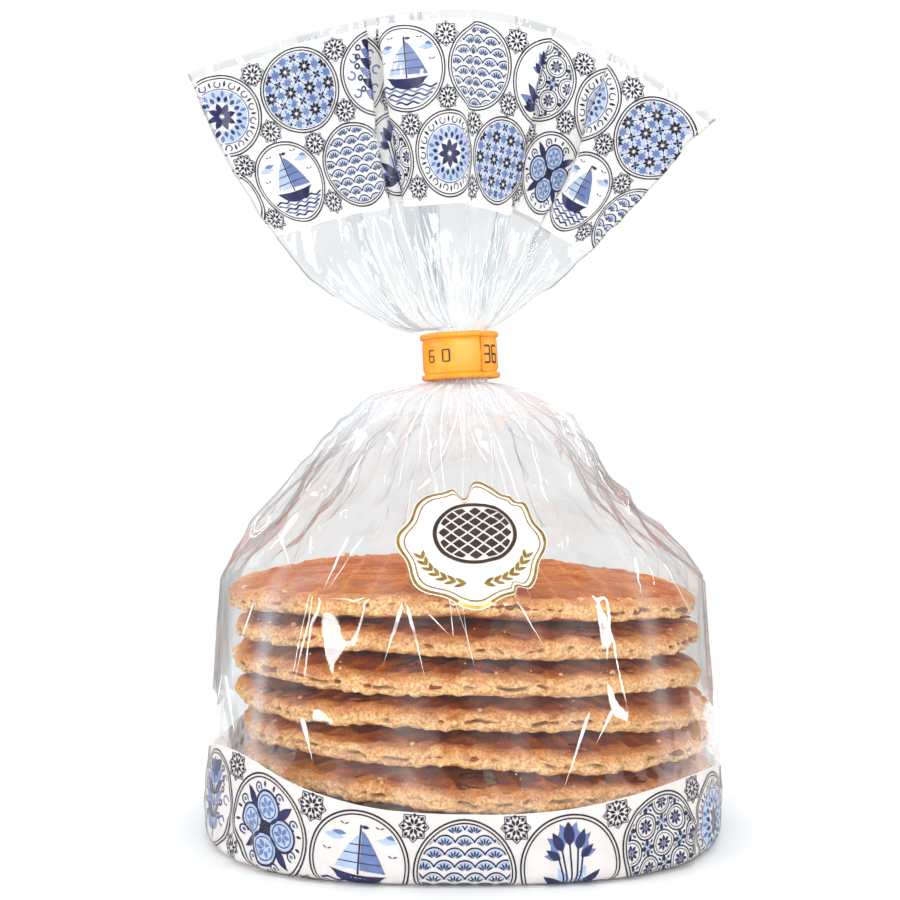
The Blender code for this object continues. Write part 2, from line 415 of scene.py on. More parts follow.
def crust_material():
    """Baked wafer: orange-brown and finely grained on its faces, pale and crumbly where cut.

    Its "toasted" value is 1 on the faces, more in the iron's pockets, where the syrup shows
    through and painted shade darkens the hollows, 0 on the cut, and -1 where syrup fills the
    seam. The real grain, about 0.2 mm, is drawn at 0.5 mm so that it shows; the cut is darkened
    between its grains with painted shade. A Mix node's colours are its inputs 6 and 7, and its
    mixed colour is its output 2.
    """
    made, tree = new_material("baked_wafer_crust")
    toasted = add(tree, "Attribute", attribute_name="toasted").outputs["Fac"]
    fine = speckle(tree, 0.48 * MM, 4.0, 0.72)
    broad = speckle(tree, 9 * MM, 2.0)
    where = add(tree, "TexCoord").outputs["Object"]
    grains = {"Vector": where, "Scale": 1.0 / (0.58 * MM), "Randomness": 1.0}
    grains = add(tree, "TexVoronoi", grains).outputs["Distance"]
    pale = [(0.32, "#9C6030"), (0.42, "#DAA264"), (0.57, "#F2C88E"), (0.74, "#FDE2B8")]
    brown = [(0.28, "#9E4E12"), (0.46, "#CC7622"), (0.64, "#E29038"), (0.8, "#F8BE6E")]
    cut = add(tree, "ValToRGB", {"Fac": fine}, pale)
    # Painted shade: the cut darkens between its grains, where the bump sinks
    pit_shade = add(tree, "ValToRGB", {"Fac": grains}, [(0.48, "#FFFFFF"), (0.78, "#C98F55")])
    baked = add(tree, "ValToRGB", {"Fac": fine}, brown)
    deep = add(tree, "ValToRGB", {"Fac": broad}, [(0.36, "#D99C72"), (0.60, "#FFFFFF")])
    darker = {"data_type": "RGBA", "blend_type": "MULTIPLY"}
    cut = add(tree, "Mix", {0: 0.45, 6: cut, 7: pit_shade}, **darker).outputs[2]
    baked = add(tree, "Mix", {0: 1.0, 6: baked, 7: deep}, **darker).outputs[2]
    # The pockets darken, partly for syrup showing through and partly as painted shade in the hollows
    pocket = {"Value": toasted, "From Min": 1.0, "From Max": 1.8, "To Max": 0.8}
    pocket = {0: add(tree, "MapRange", pocket), 6: baked, 7: linear("#A85A1E")}
    baked = add(tree, "Mix", pocket, data_type="RGBA").outputs[2]
    colour = add(tree, "Mix", {0: toasted, 6: cut, 7: baked}, data_type="RGBA").outputs[2]
    seam = add(tree, "MapRange", {"Value": toasted, "From Max": -1.0, "To Max": 0.9})
    seam = {0: seam, 6: colour, 7: linear("#703A18")}
    colour = add(tree, "Mix", seam, data_type="RGBA").outputs[2]
    relief = add(tree, "Bump", {"Strength": 0.7, "Distance": 0.22 * MM, "Height": fine})
    relief = {"Strength": 0.6, "Distance": -0.16 * MM, "Height": grains, "Normal": relief}
    relief = add(tree, "Bump", relief)
    surface = {"Base Color": colour, "Roughness": 0.62, "IOR": 1.45, "Normal": relief}
    add(tree, "OutputMaterial", {"Surface": add(tree, "BsdfPrincipled", surface)})
    return made


def caramel_material():
    """Stroop, a caramel syrup: dark amber, smooth and shiny."""
    made, tree = new_material("caramel_syrup")
    amber = [(0.3, "#5A280E"), (0.55, "#8E4414"), (0.8, "#BC6824")]
    colour = add(tree, "ValToRGB", {"Fac": speckle(tree, 3 * MM)}, amber)
    surface = {"Base Color": colour, "Roughness": 0.22, "IOR": 1.48}
    add(tree, "OutputMaterial", {"Surface": add(tree, "BsdfPrincipled", surface)})
    return made


def clip_material():
    """Moulded polyethylene over two steel wires: amber, satin, a little uneven in cover."""
    made, tree = new_material("amber_polyethylene_strip")
    amber = [(0.3, "#DC8410"), (0.6, "#EA9420"), (0.8, "#F1A63C")]
    colour = add(tree, "ValToRGB", {"Fac": speckle(tree, 5 * MM)}, amber)
    relief = {"Strength": 0.2, "Distance": 0.05 * MM, "Height": speckle(tree, 0.5 * MM)}
    relief = add(tree, "Bump", relief)
    surface = {"Base Color": colour, "Roughness": 0.34, "IOR": 1.51, "Normal": relief}
    add(tree, "OutputMaterial", {"Surface": add(tree, "BsdfPrincipled", surface)})
    return made


def foil_material():
    """Hot-stamped gold foil: a bright warm metal with a soft, slightly broken shine."""
    made, tree = new_material("gold_stamping_foil")
    patches = speckle(tree, 2 * MM)
    colour = add(tree, "ValToRGB", {"Fac": patches}, [(0.3, "#C79A3A"), (0.7, "#EBCB74")])
    rough = {"Value": speckle(tree, 1 * MM), "To Min": 0.2, "To Max": 0.42}
    rough = add(tree, "MapRange", rough)
    surface = {"Base Color": colour, "Metallic": 1.0, "Roughness": rough}
    add(tree, "OutputMaterial", {"Surface": add(tree, "BsdfPrincipled", surface)})
    return made


# The film's body


def superellipse(angle, half_x, half_y, squareness):
    """Points at an angle on an ellipse that nears its rectangle as squareness passes 2."""
    power = 2.0 / squareness
    across, along = np.cos(angle), np.sin(angle)
    x = half_x * np.sign(across) * np.abs(across) ** power
    return x, half_y * np.sign(along) * np.abs(along) ** power


def even_angles(count):
    """Angles from the back, round by the left, that part the base's outline evenly."""
    fine = math.pi / 2 + np.linspace(0.0, FULL_TURN, 8001)
    x, y = superellipse(fine, *BASE_HALF, BASE_SQUARENESS)
    length = np.concatenate([[0.0], np.cumsum(np.hypot(np.diff(x), np.diff(y)))])
    return np.interp(np.arange(count) / count * length[-1], length, fine)


def body_point(angle, height, inset=0.0):
    """The body narrows a little and grows rounder from the base to the rim."""
    rise = np.clip(height / BODY_TOP, 0.0, 1.0) ** BODY_TAPER
    half = [low + (high - low) * rise - inset for low, high in zip(BASE_HALF, RIM_HALF)]
    squareness = BASE_SQUARENESS + (RIM_SQUARENESS - BASE_SQUARENESS) * rise
    x, y = superellipse(angle, *half, squareness)
    return np.stack([x, y, height + 0.0 * x], axis=-1)


def band_top(angle):
    """Height of the printed band's upper edge, which rises at the corners, most at the left."""
    left = 3.2 * hump(angle, math.radians(210), 0.42)
    right = 1.2 * hump(angle, math.radians(336), 0.30)
    return (13.5 - 1.7 * np.cos(4 * angle) - 1.1 * np.cos(angle) + left + right) * MM


def base_point(angle, below):
    """Down from the band's upper edge by `below`: the wall, round the foot, in under the bag."""
    wall = band_top(angle) - FOOT
    turn = np.clip((below - wall) / FOOT, 0.0, math.pi / 2)
    inward = np.maximum(below - wall - FOOT * math.pi / 2, 0.0)
    height = np.where(below < wall, band_top(angle) - below, FOOT * (1.0 - np.sin(turn)))
    place = body_point(angle, height, FOOT * (1.0 - np.cos(turn)))
    length = np.linalg.norm(place[..., :2], axis=-1)
    place[..., :2] *= np.maximum(1.0 - inward / length, 0.0)[..., None]
    return place


def ridges(angle, count, phase):
    """Pleats with sharp valleys: 0 in the valleys and 1 on the crests, no two alike."""
    uneven = angle + 0.11 * np.sin(3 * angle + phase) + 0.07 * np.sin(5 * angle + 2 * phase)
    return np.abs(np.sin(0.5 * count * uneven + phase)) ** 0.8


def shoulder_point(angle, share):
    """share is 0 at the stack's rim and 1 at the neck; the film runs in and gathers in pleats.

    It is dented half way up at the right, and juts out at the left just below the neck.
    """
    down = 1.0 - share
    rim = body_point(angle, BODY_TOP + 0.0 * share)
    neck = superellipse(angle, *NECK_HALF, 2.0)
    place = rim.copy()
    for axis, growth in enumerate(SHOULDER_GROWTH):
        place[..., axis] = neck[axis] + (rim[..., axis] - neck[axis]) * down**growth
    fade = eased(down / 0.16) * eased(share / 0.45)
    depth = PLEAT_DEPTH * fade * ridges(angle, SHOULDER_PLEATS, 0.8)
    height = BODY_TOP + (NECK_LOW - BODY_TOP) * share + 0.0 * angle
    right = np.maximum(np.cos(angle), 0.0) ** 4 * hump(height / MM, 65.0, 10.0)
    left = np.maximum(-np.cos(angle), 0.0) ** 2 * hump(height / MM, 80.8, 2.4)
    depth = depth + SHOULDER_DENT * right - SHOULDER_LEDGE * left
    length = np.linalg.norm(place[..., :2], axis=-1)
    place[..., :2] *= ((length - depth) / length)[..., None]
    place[..., 2] = height
    return place


def tension_creases(angle, climb, radius, spans, seed):
    """Thin tent-shaped ridges that run up to the neck; each keeps its width as they crowd."""
    chance = np.random.default_rng(seed)
    relief = np.zeros(np.broadcast(angle, climb).shape)
    for number in range(spans):
        middle = (number + chance.uniform(0.1, 0.9)) / spans * FULL_TURN
        start, drift = chance.uniform(8.0, 62.0), chance.normal() * 0.10
        width, height = chance.uniform(0.7, 2.2), chance.uniform(0.25, 0.95)
        line = middle + drift * (1.0 - climb / 95.0)
        away = (angle - line + math.pi) % FULL_TURN - math.pi
        tent = np.maximum(1.0 - np.abs(away) * radius / (width * MM), 0.0)
        relief += height * tent * rising(climb, start, 22.0)
    return relief


def body_run(angle):
    """The film without its creases, and the rows where its print starts and ends."""
    foot = base_point(angle, BASE_PRINT_DEEP * MM)
    inner = np.linspace(0.0, 1.0, 9)[:-1, None, None] * foot * np.array([1.0, 1.0, 0.0])
    steps = round(BASE_PRINT_DEEP / PRINT_STEP)
    below = np.linspace(BASE_PRINT_DEEP, 0.0, steps + 1)[:, None] * MM
    printed = base_point(angle, below)
    climb = np.linspace(0.0, 1.0, 46)[1:, None]
    wall = body_point(angle, band_top(angle) + (BODY_TOP - band_top(angle)) * climb)
    share = 1.0 - (1.0 - np.linspace(0.0, 1.0, 96)[1:, None]) ** 1.5
    shoulder = shoulder_point(angle, share)
    neck = np.linspace(NECK_LOW, NECK_HIGH, 7)[1:, None]
    x, y = superellipse(angle, *NECK_HALF, 2.0)
    neck = np.stack(np.broadcast_arrays(x, y, neck), axis=-1)
    first = len(inner)
    return np.concatenate([inner, printed, wall, shoulder, neck]), first, first + len(printed) - 1


def body_relief(grid, angle, radius):
    """How far, in mm, creases, facets and pleats lift the film; heights below are in mm too."""
    height = grid[..., 2] / MM
    off_floor = eased(height / 8.0)
    on_shoulder = rising(height, 44.0, 12.0)
    drawn_out = grid * np.array([1.0, 1.0, 0.4])
    # Creases and facets, strongest on the shoulder
    climb = height + 18.0 * np.clip((height - 46.0) / 38.0, 0.0, 1.0)
    relief = tension_creases(angle, climb, radius, 52, 11) * off_floor * (0.35 + 0.65 * on_shoulder)
    for tall, size, seed, beside in BODY_FACETS:
        fade = off_floor * (beside + (1.0 - beside) * on_shoulder)
        relief += tall * crumple(drawn_out, size * MM, seed) * fade
    # The lowest waffles press the film out at the right
    pressed = hump(np.cos(angle), 1.0, 0.06) * falling(height, 26.0, 8.0)
    relief += 0.45 * pressed * off_floor
    # The printed band is creased a little, and the wall above it runs in soft flutes
    on_print = eased(height / 3.5) * falling(height, 17.0, 5.0)
    relief += 0.22 * crumple(grid, 9.0 * MM, 7) * on_print
    flutes = np.sin(9 * angle + 0.8 * np.sin(2 * angle)) + 0.6 * np.sin(17 * angle + 1.3)
    relief += 0.30 * flutes * off_floor * rising(height, 12.0, 14.0)
    # Near the neck only fine pleats are left
    pleated = 0.35 * ridges(angle, 37, 0.3) * rising(height, 70.0, 10.0)
    relief = relief * falling(height, 84.2, 9.0) + pleated
    # The badge holds the film flat, and the corners of the base are crumpled
    label = np.hypot(grid[..., 0] / MM, height - 55.0) / 15.5
    relief *= 1.0 - 0.8 * np.exp(-(label**6)) * (grid[..., 1] < 0)
    corner = hump(np.cos(4 * angle), -1.0, 0.4) * eased(height / 1.5) * falling(height, 12.0, 6.0)
    return relief + 1.0 * crumple(grid, 7.0 * MM, 13) * corner


def body_grid():
    """The film from the middle of the base up to the crown, as rows of closed columns.

    Returns the points, the rows where the print starts and ends, the film's radius round the
    middle, and how closely it is gathered, raised by the painted highlight bands on the front.
    """
    angle = even_angles(BODY_COLUMNS)[None, :]
    grid, first, last = body_run(angle)
    height = grid[..., 2] / MM
    radius = np.linalg.norm(grid[..., :2], axis=-1)
    relief = body_relief(grid, angle, radius)
    # Painted highlights: bands on the front where the film is whitened to stand for light on folds
    painted_highlight = sum(share * hump(angle, at, wide) for at, wide, share in PAINTED_FILM_HIGHLIGHTS)
    painted_highlight = painted_highlight * rising(height, 12.0, 6.0) * falling(height, 58.0, 16.0)
    gathered = np.maximum(rising(height, 66.0, 18.0), painted_highlight)
    grid = grid + outward(grid) * (relief * MM)[..., None]
    grid[..., 2] = np.maximum(grid[..., 2], 0.0)
    return grid, first, last, radius, gathered


# The film's crown


def leaf_curve(folds, steps):
    """The mouth of one leaf seen from above, from its left corner to its right corner.

    The film's direction swings round and back at each fold, past square, so the film lies
    threefold there. The swings are made larger or smaller together until a leaf of the
    film's real width just spans the two corners.
    """
    length = FILM_ROUND / 2
    along = np.linspace(0.0, length, steps)
    swing = sum(math.radians(angle) * hump(along, at, wide) for at, wide, angle in folds)
    swing = swing + math.radians(12.0) * np.sin(along / 7.0 + 0.6)
    span = (CORNER_RIGHT[0] - CORNER_LEFT[0]) / MM
    low, high = 0.0, 1.3
    for _ in range(30):
        middle = (low + high) / 2
        reach = np.cos(swing * middle).mean() * length
        low, high = (middle, high) if reach > span else (low, middle)
    step = length / (steps - 1)
    x = np.concatenate([[0.0], np.cumsum(np.cos(swing * middle))[:-1] * step])
    y = np.concatenate([[0.0], np.cumsum(np.sin(swing * middle))[:-1] * step])
    x = x * span / x[-1] + CORNER_LEFT[0] / MM
    y = FOLD_DEPTH * (y - y[-1] * along / length)
    return x * MM, (y - y.mean() * np.sin(math.pi * along / length) * 1.5) * MM


def crown_run():
    """The crown's film without its creases: columns of points from the neck to the mouth.

    Each column runs from its place in the neck to its place in the mouth: sideways fast at
    first, so the fan spreads at once, and evenly upwards.
    """
    half = CROWN_COLUMNS // 2
    share = np.linspace(0.0, 1.0, half + 1)
    gap = LEAF_GAP * np.sin(math.pi * share) ** 0.7
    front = leaf_curve(FRONT_FOLDS, half + 1)
    back = leaf_curve(BACK_FOLDS, half + 1)
    mouth_x = np.concatenate([front[0][:-1], back[0][:0:-1]])
    mouth_y = np.concatenate([(front[1] - gap)[:-1], (back[1] + gap)[:0:-1]])
    angle = math.pi + np.arange(CROWN_COLUMNS) / CROWN_COLUMNS * FULL_TURN
    neck_x, neck_y = superellipse(angle, *NECK_HALF, 2.0)

    rise = np.linspace(0.0, 1.0, 161)[:, None] ** 1.4
    across = np.where(mouth_x < 0, mouth_x / CORNER_LEFT[0], mouth_x / CORNER_RIGHT[0])
    side = rising(mouth_x / MM, -16.0, 32.0)
    flare = FLARE_LEFT + (FLARE_RIGHT - FLARE_LEFT) * side
    droop = CROWN_TOP - (CORNER_LEFT[1] + (CORNER_RIGHT[1] - CORNER_LEFT[1]) * side)
    x = neck_x + (mouth_x - neck_x) * rise**flare
    y = neck_y + (mouth_y - neck_y) * rise**0.9
    z = NECK_HIGH + (CROWN_TOP - NECK_HIGH - droop * across**CROWN_ARCH) * rise
    z = z + FRONT_LEAN * np.minimum(y, 0.0) * (z - NECK_HIGH) / (CROWN_TOP - NECK_HIGH)
    return np.stack([x, y, z], axis=-1)


def crown_grid():
    """The film from the neck up to its mouth; printed rows lie evenly down from the mouth.

    Returns the points, the rows where the print starts and ends, and how closely the film is
    gathered.
    """
    run = crown_run()
    step = np.linalg.norm(np.diff(run, axis=0), axis=-1)
    climbed = np.concatenate([np.zeros((1, CROWN_COLUMNS)), np.cumsum(step, axis=0)])
    upper, lower = CROWN_PRINT[0] * MM, CROWN_PRINT[1] * MM
    clear = np.linspace(0.0, 1.0, 56)[:-1, None] * (climbed[-1] - lower)
    printed = climbed[-1] - np.arange(lower, upper, -PRINT_STEP * MM)[:, None]
    margin = climbed[-1] - np.linspace(upper, 0.0, 4)[:, None]
    wanted = np.concatenate([clear, printed, margin])
    grid = np.empty((len(wanted), CROWN_COLUMNS, 3))
    for column, axis in np.ndindex(CROWN_COLUMNS, 3):
        known = climbed[:, column], run[:, column, axis]
        grid[:, column, axis] = np.interp(wanted[:, column], *known)
    first, last = len(clear), len(clear) + len(printed)

    climb = wanted / MM
    count = np.arange(CROWN_COLUMNS) / CROWN_COLUMNS * FULL_TURN
    gather = 0.9 * np.abs(np.sin(24 * count + 1.5 * np.sin(3 * count))) * eased(climb / 6.0)
    relief = gather * (1.0 - rising(climb, 4.0, 26.0))
    spread = np.maximum(climb * 0.75, 4.0) * MM
    creases = tension_creases(count, climb, spread, 40, 23)
    relief = relief + creases * (1.0 - 0.75 * rising(climb, 22.0, 25.0))
    drawn_out = grid * np.array([1.0, 1.0, 0.35])
    for tall, size, seed, over in CROWN_FACETS:
        relief += tall * crumple(drawn_out, size * MM, seed) * eased(climb / over)
    gathered = 0.8 * falling(climb, 13.0, 13.0)
    return grid + outward(grid) * (relief * MM)[..., None], first, last, gathered


# Flat drawing, in millimetres


def turned(shape, degrees, centre=(0.0, 0.0)):
    """A flat shape turned about the origin and then moved to its centre."""
    angle = math.radians(degrees)
    spin = np.array([[math.cos(angle), math.sin(angle)], [-math.sin(angle), math.cos(angle)]])
    return shape @ spin + np.array(centre)


def ring(inner, outer, steps=56, centre=(0.0, 0.0), rows=2, arc=(0.0, 360.0)):
    """Rows of points on circles, or arcs in degrees, from the inner to the outer radius."""
    angle = np.radians(np.linspace(*arc, steps + 1))[None, :]
    radius = np.linspace(outer, inner, rows)[:, None]
    return np.stack([radius * np.cos(angle), radius * np.sin(angle)], axis=-1) + np.array(centre)


def petal(root, tip, half, degrees, steps=8, centre=(0.0, 0.0), belly=1.0):
    """A leaf from root to tip along a ray; its width follows half a sine wave."""
    share = np.linspace(0.0, 1.0, steps)[None, :]
    wide = half * np.sin(math.pi * share**belly) * np.array([[-1.0], [0.0], [1.0]])
    return turned(np.stack(np.broadcast_arrays(root + (tip - root) * share, wide), axis=-1), degrees, centre)


def bar(start, end, width, steps=6):
    """A straight stroke of even width."""
    start, end = np.array(start), np.array(end)
    way = (end - start) / np.linalg.norm(end - start)
    side = np.array([-way[1], way[0]]) * width / 2
    line = start + (end - start) * np.linspace(0.0, 1.0, steps)[:, None]
    return np.stack([line - side, line + side])


def within(shapes, radius):
    """Shapes cut to a circle: points beyond it move onto it, and shapes beyond it are dropped."""
    kept = []
    for ink, shape in shapes:
        far = np.linalg.norm(shape, axis=-1)
        if far.min() < radius:
            kept.append((ink, shape * np.minimum(1.0, radius / np.maximum(far, 1e-9))[..., None]))
    return kept


def blossom(petals, root, tip, half, ink, centre=(0.0, 0.0), first=0.0, steps=8):
    """Equal petals all round a centre."""
    turns = [first + 360.0 * n / petals for n in range(petals)]
    return [(ink, petal(root, tip, half, turn, steps, centre)) for turn in turns]


def square(half, turn=0.0, centre=(0.0, 0.0)):
    """A filled square."""
    return turned(np.stack(np.meshgrid([-half, 0.0, half], [-half, 0.0, half]), axis=-1), turn, centre)


def flowered_lattice():
    """Squares on their corners between dashed lines, with a flower at every other crossing."""
    shapes, pitch = [], 3.0
    for i, j in np.ndindex(7, 7):
        u, v = (i - 3) * pitch, (j - 3) * pitch
        centre = ((u - v) / math.sqrt(2), (u + v) / math.sqrt(2))
        shapes += [("light", square(1.22, 45, centre)), ("mid", square(0.62, 0, centre))]
        shapes += blossom(4, 0.55, 1.25, 0.12, "navy", centre, 0.0, 5)
        knot = (centre[0], centre[1] + pitch / math.sqrt(2))
        if (i + j) % 2:
            shapes += blossom(8, 0.25, 1.4, 0.3, "outline", knot, 0.0, 6)
        else:
            shapes += blossom(4, 0.0, 1.0, 0.26, "navy", knot, 45.0, 6)
        for turn in (45, 135, 225, 315):
            shapes += [("navy", petal(at, at + 0.5, 0.11, turn, 4, knot)) for at in (1.45, 2.1)]
    return within(shapes, MOTIF_RADIUS)


def rosette():
    """A flower in rings of petals, each ring turned by half a petal, inside scrolls."""
    shapes = [("light", ring(2.9, 5.3, 48, rows=4)), ("mid", ring(5.5, 5.75))]
    shapes += blossom(8, 0.3, 2.9, 0.62, "navy")
    shapes += blossom(16, 3.0, 4.3, 0.42, "navy", first=11.25)
    shapes += blossom(16, 3.9, 5.4, 0.36, "mid")
    for n in range(14):
        turn = 360.0 * n / 14
        spot = tuple(turned(np.array([6.6, 0.0]), turn))
        shapes.append(("navy", ring(0.5, 0.74, 14, spot, 2, (turn + 20, turn + 300))))
        shapes.append(("outline", petal(6.0, 7.4, 0.24, turn + 13, 5)))
    return shapes


def quatrefoils():
    """Four linked rings round a star, with leaves and small curls between them."""
    shapes = []
    for turn in range(4):
        centre = turned(np.array([3.4, 0.0]), 90.0 * turn)
        shapes += [("light", ring(0.0, 2.3, 24, centre, 4)), ("navy", ring(2.35, 2.75, 32, centre))]
        shapes += [("navy", ring(1.72, 1.9, 28, centre))] + blossom(6, 0.2, 1.6, 0.36, "mid", centre)
        shapes += [("navy", petal(2.7, 7.3, 0.75, 45 + 90.0 * turn))]
        for side in (-1, 1):
            spot = turned(np.array([6.2, 0.0]), 90.0 * turn + 24.0 * side)
            shapes.append(("navy", ring(0.62, 0.9, 16, spot, 2, (0.0, 280.0))))
            shapes.append(("mid", ring(0.0, 0.34, 8, spot)))
            shapes.append(("outline", petal(6.3, 7.4, 0.25, 90.0 * turn + 9.0 * side, 5)))
    return within(shapes + blossom(8, 0.0, 1.3, 0.25, "outline"), MOTIF_RADIUS)


def linked_rings():
    """Double rings round flowers, linked by pointed crosses on light squares."""
    shapes = []
    for i, j in np.ndindex(5, 5):
        centre = ((i - 2) * 3.45, (j - 2) * 3.45)
        if (i + j) % 2 == 0:
            shapes += [("navy", ring(1.98, 2.25, 28, centre)), ("navy", ring(1.55, 1.7, 24, centre))]
            shapes += blossom(8, 0.25, 1.35, 0.27, "navy", centre, 0.0, 6)
            shapes += [("mid", ring(0.0, 0.3, 8, centre))]
        else:
            shapes += [("light", square(0.95, 45, centre)), ("mid", ring(0.55, 0.75, 14, centre))]
            shapes += blossom(4, 0.2, 1.6, 0.36, "outline", centre, 0.0, 6)
            shapes += blossom(4, 0.9, 1.7, 0.2, "navy", centre, 45.0, 5)
    return within(shapes, MOTIF_RADIUS)


def scale_pattern():
    """Overlapping fans in rows, each an outline round a light field with five leaves."""
    shapes = []
    for row in range(-4, 5):
        for column in range(-3, 4):
            centre = np.array([column * 3.4 + (1.7 if row % 2 else 0.0), row * 2.0])
            shapes.append(("navy", ring(1.72, 2.0, 12, centre, 2, (22.0, 158.0))))
            shapes.append(("light", ring(0.3, 1.55, 12, centre, 2, (22.0, 158.0))))
            shapes += [("navy", petal(0.35, 1.5, 0.17, turn, 5, centre)) for turn in (35, 62, 90, 118, 145)]
    return within(shapes, MOTIF_RADIUS)


def tulips():
    """Five tulips fanned out on straight stems, with long leaves and small flowers below."""
    shapes = []
    stems = ((0.0, 1.05, 0.0), (25.0, 0.9, -0.5), (-25.0, 0.9, 0.5), (52.0, 0.7, -0.9), (-52.0, 0.7, 0.9))
    for lean, size, foot in stems:
        head = turned(np.array([0.0, 3.6 * size + 0.3]), lean)
        shapes.append(("navy", bar((foot * 0.5, -6.4), tuple(head * 0.9), 0.3, 12)))
        for turn, ink, half in ((26, "mid", 0.85), (-26, "mid", 0.85), (0, "navy", 0.9)):
            shapes.append((ink, petal(-0.6, 3.2 * size, half * size, 90 + lean + turn, 9, tuple(head), 0.8)))
        shapes.append(("light", petal(0.2, 2.2 * size, 0.22, 90 + lean, 6, tuple(head))))
    leaves = ((40, 6.2, "navy"), (140, 6.2, "navy"), (14, 6.4, "mid"), (166, 6.4, "mid"), (66, 5.6, "light"))
    for turn, reach, ink in leaves + ((114, 5.6, "light"), (-8, 5.0, "navy"), (188, 5.0, "navy")):
        shapes.append((ink, petal(0.2, reach, 0.9, turn, 9, (0.0, -5.0))))
    for x in (-3.4, 3.4, 0.0):
        shapes += blossom(6, 0.15, 1.1, 0.3, "outline", (x, -5.4 + 0.2 * abs(x)), 0.0, 6)
    return within(shapes, MOTIF_RADIUS - 0.15)


def leaf_sprigs():
    """A branch with pairs of leaves, berries at their tips, and curls on both sides."""
    shapes = [("navy", bar((0.0, -6.9), (0.0, 5.0), 0.34, 14))]
    for level in range(6):
        y, reach = -5.6 + 2.0 * level, 5.3 - 0.45 * abs(level - 2.0)
        for turn in (38, 142):
            shapes.append(("navy" if level % 2 else "mid", petal(0.2, reach, 0.92, turn, 9, (0.0, y))))
            shapes.append(("light", petal(0.6, reach - 0.8, 0.2, turn, 6, (0.0, y))))
            berry = turned(np.array([reach + 0.5, 0.0]), turn, (0.0, y))
            shapes.append(("navy", ring(0.28, 0.62, 12, tuple(berry), 2)))
    for side in (-1, 1):
        for y in (-3.2, 0.4, 3.6):
            curl = (side * (6.1 - 0.08 * y * y), y)
            shapes.append(("mid", ring(0.6, 0.95, 16, curl, 2, (90.0 - 90.0 * side, 370.0 - 90.0 * side))))
    shapes += blossom(7, 0.0, 2.0, 0.5, "navy", (0.0, 5.2)) + [("light", ring(0.0, 0.5, 10, (0.0, 5.2)))]
    return within(shapes, MOTIF_RADIUS - 0.15)


def sailing_boat():
    """A small boat with two sails on wavy water under a few clouds and birds."""
    share = np.linspace(0.0, 1.0, 14)
    deck = np.stack([-5.0 + 10.0 * share, -1.5 - 0.4 * np.sin(math.pi * share)], axis=-1)
    keel = np.stack([-4.1 + 8.2 * share, -1.8 - 2.2 * np.sin(math.pi * share) ** 0.5], axis=-1)
    shapes = [("navy", np.stack([keel, (deck + keel) / 2, deck]))]
    for foot, tip, ink in (((0.25, 4.6), 6.4, "mid"), ((-0.25, -3.9), 5.6, "light")):
        y = -1.1 + tip * share
        luff = np.stack([np.full(14, foot[0]), y], axis=-1)
        leech = np.stack([foot[0] + (foot[1] - foot[0]) * (1.0 - share) ** 0.75, y], axis=-1)
        rows = [leech, (luff + leech) / 2, luff] if foot[1] > 0 else [luff, (luff + leech) / 2, leech]
        shapes.append((ink, np.stack(rows)))
    for reach, y in ((3.5, 0.2), (2.6, 1.7), (1.7, 3.1)):
        shapes.append(("navy", bar((-reach, y - 0.25), (reach * 1.1, y), 0.16, 8)))
    shapes.append(("navy", bar((0.0, -1.8), (0.0, 6.2), 0.32, 10)))
    shapes.append(("navy", petal(0.0, 1.5, 0.3, 0, 6, (0.0, 5.9))))
    for level in range(5):
        x = np.linspace(-7.0, 7.0, 40)
        y = -3.5 - 0.8 * level + 0.25 * np.sin(x * 2.2 + level * 1.4)
        wave = np.stack([np.stack([x, y - 0.2], -1), np.stack([x, y + 0.2], -1)])
        shapes.append(("mid" if level % 2 else "navy", wave))
    for x, y in ((-4.4, 3.6), (4.6, 4.1)):
        shapes += [("light", petal(-1.8, 1.8, 0.55, 0, 8, (x, y)))]
        shapes += [("mid", petal(-1.1, 1.4, 0.4, 0, 8, (x + 0.7, y + 0.7)))]
    for x, y in ((-5.4, 1.2), (5.6, 1.6), (-2.8, 5.8), (3.2, 5.9)):
        shapes += [("navy", petal(0.0, 0.9, 0.12, turn, 5, (x, y))) for turn in (25, 155)]
    return within(shapes, MOTIF_RADIUS - 0.15)


def star():
    """The eight-pointed star between four tiles: two crossed squares round two flowers."""
    shapes = []
    for first in (0.0, 45.0):
        corners = [turned(np.array([2.55, 0.0]), first + 90.0 * n) for n in range(5)]
        shapes += [("outline", bar(corners[n], corners[n + 1], 0.15, 3)) for n in range(4)]
    shapes += blossom(8, 0.3, 1.45, 0.27, "outline", first=22.5, steps=6)
    shapes += blossom(8, 1.35, 2.3, 0.25, "navy", first=0.0, steps=5)
    return shapes + blossom(8, 1.35, 1.95, 0.16, "outline", first=22.5, steps=5)


def tile(motif):
    """A motif inside the double line that frames each tile."""
    outer = ring(TILE_RADIUS - 0.3, TILE_RADIUS)
    return motif + [("outline", outer), ("outline", ring(TILE_RADIUS - 0.84, TILE_RADIUS - 0.6))]


def sheets_of_print():
    """Where each tile and star stands on the base and on the crown.

    Returns for each its film, its shapes, the share of the way round the film, and the
    distance down it in mm.
    """
    motifs = [tulips(), flowered_lattice(), sailing_boat(), linked_rings()]
    motifs += [leaf_sprigs(), scale_pattern(), rosette(), quatrefoils()]
    pitch = 1.0 / TILES_ROUND
    upper, lower = CROWN_TILES_DOWN
    placed = []
    for n in range(TILES_ROUND):
        middle = 0.5 + (n - TILES_ROUND // 2) * pitch
        here, above = [tile(motifs[(n * 3 + start) % len(motifs)]) for start in (2, 6)]
        placed.append(("base", here, middle, BASE_TILES_DOWN))
        placed += [("base", star(), middle + pitch / 2, down) for down in BASE_STARS_DOWN]
        placed.append(("crown", above, (n + 0.15) * pitch, upper))
        placed.append(("crown", here, (n + 0.65) * pitch, lower))
        for across, down in ((0.65, upper), (0.15, lower)):
            for step in (-CROWN_STAR_STEP, CROWN_STAR_STEP):
                placed.append(("crown", star(), (n + across) * pitch, down + step))
    return placed


